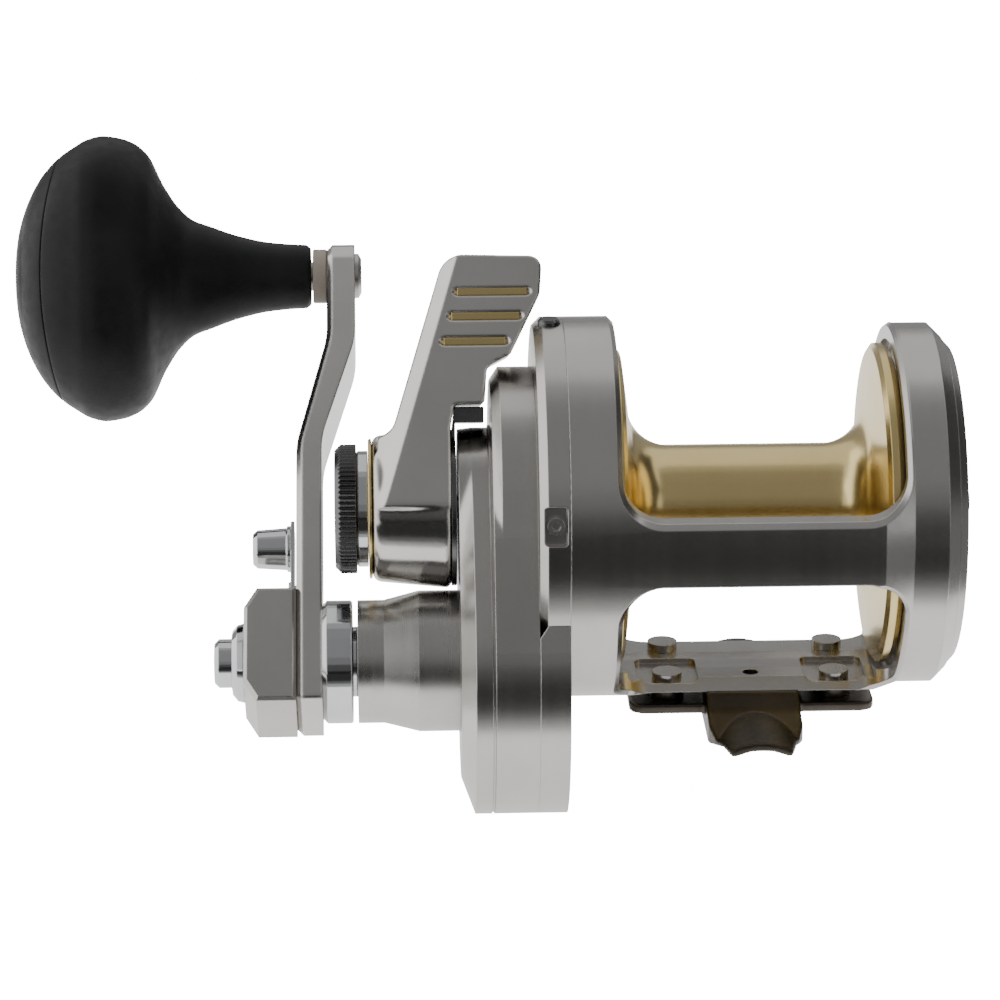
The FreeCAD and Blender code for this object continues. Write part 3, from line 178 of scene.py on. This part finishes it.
def build_studio():
    floor_z = frame_low[2] - FLOOR_GAP
    floor = sheet("floor", ground(floor_z, FLOOR_FRONT, FLOOR_BACK, FLOOR_HALF),
                  plain_finish("studio_floor", (0.86, 0.86, 0.86), BACKDROP))
    floor.visible_glossy = False
    floor.visible_diffuse = False
    bounce = sheet("bounce", ground(floor_z - LAYER, FLOOR_FRONT, FLOOR_BACK, FLOOR_HALF),
                   plain_finish("studio_bounce", (0.5, 0.5, 0.5), BOUNCE))
    bounce.visible_camera = False
    for far, near, glow in GROUND_STRIPS:
        glow_card("ground_strip", ground(floor_z + LAYER, far, near, STRIP_HALF), glow)
    build_drum()
    for side, glow in ((-1, LEFT_GLOW), (1, RIGHT_GLOW)):
        out = side * WALL_OUT
        glow_card("side_wall", [(out, WALL_FRONT, floor_z), (out, WALL_BACK, floor_z),
                                (out, WALL_BACK, WALL_TOP), (out, WALL_FRONT, WALL_TOP)], glow)
    side_z = floor_z + 2 * LAYER
    glow_card("side_ground", [(SIDE_FROM, WALL_FRONT, side_z), (WALL_OUT, WALL_FRONT, side_z),
                              (WALL_OUT, WALL_BACK, side_z), (SIDE_FROM, WALL_BACK, side_z)], SIDE_GLOW)
    glow_card("back_band", [(-WALL_OUT, WALL_BACK, floor_z), (WALL_OUT, WALL_BACK, floor_z),
                            (WALL_OUT, WALL_BACK, BAND_TOP), (-WALL_OUT, WALL_BACK, BAND_TOP)], BACK_GLOW)
    world = bpy.data.worlds.new("studio")
    bpy.context.scene.world = world
    world.use_nodes = True
    background = world.node_tree.nodes["Background"]
    background.inputs["Color"].default_value = (1, 1, 1, 1)
    background.inputs["Strength"].default_value = SURROUND
    overhead = area_light("overhead", (0, 0.25, 1.0), (0, 0, 0.05), 1.6, 1.0, 10)
    overhead.visible_glossy = False


place_camera()
build_studio()

# ---------------------------------------------------------------- finishes


class Finish:
    """A node material under construction."""

    def __init__(self, name):
        self.material = bpy.data.materials.new(name)
        self.material.use_nodes = True
        self.nodes = self.material.node_tree.nodes
        self.links = self.material.node_tree.links
        self.shader = self.nodes["Principled BSDF"]
        self.place = self.nodes.new("ShaderNodeTexCoord").outputs["Object"]

    def set(self, **values):
        for key, value in values.items():
            self.shader.inputs[key.replace("_", " ")].default_value = value

    def scaled(self, scale):
        """Object coordinates stretched by an (x, y, z) scale."""
        node = self.nodes.new("ShaderNodeMapping")
        node.inputs["Scale"].default_value = scale
        self.links.new(self.place, node.inputs["Vector"])
        return node.outputs["Vector"]

    def noise(self, scale, detail=3.0, stretch=None, roughness=0.5):
        node = self.nodes.new("ShaderNodeTexNoise")
        node.inputs["Scale"].default_value = scale
        node.inputs["Detail"].default_value = detail
        node.inputs["Roughness"].default_value = roughness
        source = self.scaled(stretch) if stretch else self.place
        self.links.new(source, node.inputs["Vector"])
        return node.outputs["Fac"]

    def ramp(self, factor, low, high, low_at=0.0, high_at=1.0):
        """Maps a factor to a number between two values."""
        node = self.nodes.new("ShaderNodeMapRange")
        node.inputs["From Min"].default_value = low_at
        node.inputs["From Max"].default_value = high_at
        node.inputs["To Min"].default_value = low
        node.inputs["To Max"].default_value = high
        self.links.new(factor, node.inputs["Value"])
        return node.outputs["Result"]

    def blend(self, factor, first, second):
        """Colour mixed from two colours by a factor."""
        node = self.nodes.new("ShaderNodeMix")
        node.data_type = "RGBA"
        self.links.new(factor, node.inputs["Factor"])
        node.inputs[6].default_value = (*first, 1)
        node.inputs[7].default_value = (*second, 1)
        return node.outputs[2]

    def relief(self, height, strength, distance, edge=0.0003):
        """Bump over softly rounded edges."""
        bevel = self.nodes.new("ShaderNodeBevel")
        bevel.samples = 6
        bevel.inputs["Radius"].default_value = edge
        bump = self.nodes.new("ShaderNodeBump")
        bump.inputs["Strength"].default_value = strength
        bump.inputs["Distance"].default_value = distance
        self.links.new(height, bump.inputs["Height"])
        self.links.new(bevel.outputs["Normal"], bump.inputs["Normal"])
        self.links.new(bump.outputs["Normal"], self.shader.inputs["Normal"])

    def feed(self, socket, output):
        self.links.new(output, self.shader.inputs[socket])


def metal(name, dark, light, rough_low, rough_high, grain=2600, bump=0.06, edge=0.00035,
          stretch=None):
    """Bare or anodised metal: cloudy tone, uneven gloss and a fine grain."""
    finish = Finish(name)
    finish.set(Metallic=1.0)
    cloud = finish.noise(55, 4)
    finish.feed("Base Color", finish.blend(finish.ramp(cloud, 0, 1, 0.35, 0.65), dark, light))
    streak = finish.noise(grain * 0.35, 2, stretch)
    finish.feed("Roughness", finish.ramp(streak, rough_low, rough_high, 0.3, 0.7))
    finish.relief(finish.noise(grain, 2, stretch), bump, 0.00002, edge)
    return finish.material


def soft_black(name, colour, rough, grain, bump, edge=0.0004):
    """Rubber or plastic: fine pebbled surface with faint wear."""
    finish = Finish(name)
    tone = finish.ramp(finish.noise(70, 4), 0, 1, 0.35, 0.7)
    lighter = tuple(min(1.0, value * 1.35 + 0.004) for value in colour)
    finish.feed("Base Color", finish.blend(tone, colour, lighter))
    finish.feed("Roughness", finish.ramp(finish.noise(400, 2), rough - 0.05, rough + 0.07, 0.3, 0.7))
    finish.set(Specular_IOR_Level=0.22)
    finish.relief(finish.noise(grain, 3), bump, 0.00004, edge)
    return finish.material


def woven(name):
    """Carbon cloth for the drag washer."""
    finish = Finish(name)
    weave = finish.nodes.new("ShaderNodeTexChecker")
    weave.inputs["Scale"].default_value = 700
    finish.links.new(finish.place, weave.inputs["Vector"])
    finish.feed("Base Color", finish.blend(weave.outputs["Fac"], (0.02, 0.02, 0.022), (0.07, 0.07, 0.07)))
    finish.set(Roughness=0.45)
    finish.relief(weave.outputs["Fac"], 0.3, 0.00004)
    return finish.material


LATHE = (1.0, 0.03, 0.03)
FINISHES = {
    "satin_silver": metal("satin_silver", (0.54, 0.525, 0.50), (0.58, 0.565, 0.54), 0.24, 0.27,
                          grain=1500, bump=0.004, stretch=LATHE),
    "dark_bronze": metal("dark_bronze", (0.075, 0.066, 0.055), (0.105, 0.092, 0.078), 0.30, 0.40),
    "gold": metal("gold", (0.76, 0.60, 0.27), (0.80, 0.64, 0.31), 0.20, 0.25, grain=1500,
                  bump=0.003, stretch=LATHE),
    "chrome": metal("chrome", (0.62, 0.63, 0.64), (0.70, 0.71, 0.72), 0.07, 0.11, bump=0.008),
    "polished": metal("polished", (0.60, 0.585, 0.56), (0.65, 0.635, 0.61), 0.14, 0.18,
                      bump=0.004, edge=0.0009),
    "steel": metal("steel", (0.52, 0.51, 0.49), (0.58, 0.57, 0.55), 0.25, 0.33, grain=2200,
                   bump=0.003, edge=0.0002, stretch=LATHE),
    "brass": metal("brass", (0.60, 0.43, 0.18), (0.68, 0.50, 0.22), 0.22, 0.32, stretch=LATHE),
    "black_metal": metal("black_metal", (0.14, 0.14, 0.142), (0.19, 0.19, 0.192), 0.22, 0.30,
                         bump=0.01),
    "black_rubber": soft_black("black_rubber", (0.003, 0.003, 0.0032), 0.42, 5200, 0.12),
    "bushing": soft_black("bushing", (0.17, 0.15, 0.125), 0.45, 2600, 0.1),
    "carbon": woven("carbon"),
}
SLOT_OF = {entry["node"]: entry["material_slot"] for entry in frame["record"]["subparts"]}
for node_name, node in frame["nodes"].items():
    for slot in node.material_slots:
        slot.material = FINISHES[SLOT_OF[node_name]]

# ---------------------------------------------------------------- grip

MM = 0.001
GRIP_END = -0.1500          # outer end of the grip along the spool axis
GRIP_LEAN = math.radians(-18.0)
SEAM_RADIUS = 0.065         # the cap and the body of the grip meet on this ball
SEAM_CENTRE = GRIP_END + 0.0041 + SEAM_RADIUS
SEAM_LIP = 0.35             # depth of the groove along the seam, in millimetres
SEAM_ROUND = 0.25           # how far from the seam its edge starts to round over
MOUTH_INSET = 2.4           # wall round the hole at the grip's inner end
CLOSE_INSET = 3.0           # depth at which a shell closes under the seam
FLATTER = 0.74              # width against height at the thick end
ROUND_UNDER = 14            # height in millimetres under which the grip turns round
# distance from the outer end and height to each side, in millimetres
GRIP_STATIONS = (
    (0.0, 0.0), (0.05, 4.0), (0.35, 7.8), (1.2, 12.0), (2.6, 16.1), (4.2, 19.4), (5.8, 21.9),
    (9.0, 25.4), (12.1, 27.6), (15.3, 29.4), (18.5, 30.1), (21.6, 29.7), (24.8, 28.6),
    (27.9, 26.0), (31.1, 19.6), (34.3, 14.8), (37.4, 12.1), (40.6, 10.9), (46.9, 8.7),
    (53.3, 7.3), (59.0, 6.8), (61.0, 6.7), (62.0, 5.9))
GRIP_LENGTH = GRIP_STATIONS[-1][0]


def smooth_line(points):
    """A curve through points that never overshoots them (monotone cubic)."""
    count = len(points)
    steps = [(points[i + 1][0] - points[i][0]) for i in range(count - 1)]
    rises = [(points[i + 1][1] - points[i][1]) / steps[i] for i in range(count - 1)]
    slopes = [rises[0]]
    for i in range(1, count - 1):
        before, after = rises[i - 1], rises[i]
        if before * after <= 0:
            slopes.append(0.0)
            continue
        near, far = 2 * steps[i] + steps[i - 1], steps[i] + 2 * steps[i - 1]
        slopes.append((near + far) / (near / before + far / after))
    slopes.append(rises[-1])

    def height(at):
        at = min(max(at, points[0][0]), points[-1][0])
        i = 0
        while i < count - 2 and at > points[i + 1][0]:
            i += 1
        share = (at - points[i][0]) / steps[i]
        one, two = points[i][1], points[i + 1][1]
        lift = slopes[i] * steps[i]
        drop = slopes[i + 1] * steps[i]
        return ((2 * share ** 3 - 3 * share ** 2 + 1) * one + (share ** 3 - 2 * share ** 2 + share) * lift
                + (3 * share ** 2 - 2 * share ** 3) * two + (share ** 3 - share ** 2) * drop)

    return height


grip_height = smooth_line(GRIP_STATIONS)


def grip_point(away, angle, inset=0.0):
    """A point on the grip's skin: distance from its outer end (mm) and angle round it."""
    high = max(grip_height(away) - inset, 0.0)
    share = FLATTER + (1 - FLATTER) * max(0.0, (ROUND_UNDER - high) / ROUND_UNDER)
    return Vector((GRIP_END + away * MM, high * share * MM * math.sin(angle), high * MM * math.cos(angle)))


def seam_at(angle):
    """Where the seam crosses the grip's skin at an angle round it."""
    low, high = 0.5, 30.0
    for _ in range(40):
        middle = (low + high) / 2
        spot = grip_point(middle, angle)
        inside = (spot - Vector((SEAM_CENTRE, 0, 0))).length < SEAM_RADIUS
        low, high = (low, middle) if inside else (middle, high)
    return (low + high) / 2


def mesh_object(name, verts, faces, material, smooth=True):
    data = bpy.data.meshes.new(name)
    data.from_pydata([tuple(v) for v in verts], [], faces)
    data.validate()
    data.materials.append(material)
    piece = bpy.data.objects.new(name, data)
    bpy.context.collection.objects.link(piece)
    if smooth:
        data.polygons.foreach_set("use_smooth", [True] * len(data.polygons))
    return piece


def skin(rings, close_start=True, close_end=True):
    """Faces over a list of equal rings of points."""
    around = len(rings[0])
    verts = [point for ring in rings for point in ring]
    faces = []
    for i in range(len(rings) - 1):
        for j in range(around):
            k = (j + 1) % around
            faces.append((i * around + j, i * around + k, (i + 1) * around + k, (i + 1) * around + j))
    if close_start:
        faces.append(tuple(reversed(range(around))))
    if close_end:
        last = (len(rings) - 1) * around
        faces.append(tuple(range(last, last + around)))
    return verts, faces


def on_grip_axis(points):
    low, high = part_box("grip_pin")
    axis = Vector((0, (low[1] + high[1]) / 2, (low[2] + high[2]) / 2))
    turn = Matrix.Rotation(GRIP_LEAN, 3, "X")
    return [axis + turn @ point for point in points]


def build_grip():
    around = 128
    angles = [2 * math.pi * j / around for j in range(around)]
    seams = [seam_at(angle) for angle in angles]
    body_rings = []
    for depth, inset in ((0.0, CLOSE_INSET), (0.0, SEAM_LIP), (0.06, 0.12), (SEAM_ROUND, 0.0)):
        body_rings.append([grip_point(seams[j] + depth, angles[j], inset) for j in range(around)])
    steps = 110
    for i in range(1, steps + 1):
        share = i / steps
        body_rings.append([
            grip_point(seams[j] + SEAM_ROUND + (GRIP_LENGTH - seams[j] - SEAM_ROUND) * share, angles[j])
            for j in range(around)])
    body_rings.append([grip_point(GRIP_LENGTH, angle, MOUTH_INSET) for angle in angles])
    cap_rings = []
    steps = 60
    for i in range(1, steps + 1):
        share = (i / steps) ** 2
        cap_rings.append([grip_point((seams[j] - SEAM_ROUND) * share, angles[j]) for j in range(around)])
    for depth, inset in ((-0.06, 0.12), (0.0, SEAM_LIP), (0.0, CLOSE_INSET)):
        cap_rings.append([grip_point(seams[j] + depth, angles[j], inset) for j in range(around)])
    shells = (("grip_body_skin", body_rings, "grip"), ("grip_cap_skin", cap_rings, "grip_cap"))
    for name, rings, node in shells:
        verts, faces = skin(rings)
        piece = mesh_object(name, on_grip_axis(verts), faces, FINISHES["black_rubber"])
        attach(piece, "handle_grip")
        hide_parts(node)


build_grip()

# ---------------------------------------------------------------- softened castings


def soften(node_name, body, slot, voxel, passes):
    """Stand-in for a node with every edge rounded over, as a polished or forged piece has."""
    node = frame["nodes"][node_name]
    data = node.data.copy()
    data.transform(node.matrix_world)
    piece = bpy.data.objects.new(node_name + "_skin", data)
    bpy.context.collection.objects.link(piece)
    remesh = piece.modifiers.new("even", "REMESH")
    remesh.mode = "VOXEL"
    remesh.voxel_size = voxel
    smooth = piece.modifiers.new("soft", "SMOOTH")
    smooth.factor = 0.5
    smooth.iterations = passes
    bpy.context.view_layer.update()
    made = bpy.data.meshes.new_from_object(piece.evaluated_get(bpy.context.evaluated_depsgraph_get()))
    piece.modifiers.clear()
    piece.data = made
    made.materials.clear()
    made.materials.append(FINISHES[slot])
    made.polygons.foreach_set("use_smooth", [True] * len(made.polygons))
    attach(piece, body)
    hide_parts(node_name)


soften("drag_lever", "lever", "polished", 0.00032, 7)
soften("reel_foot", "reel_frame", "dark_bronze", 0.00035, 5)
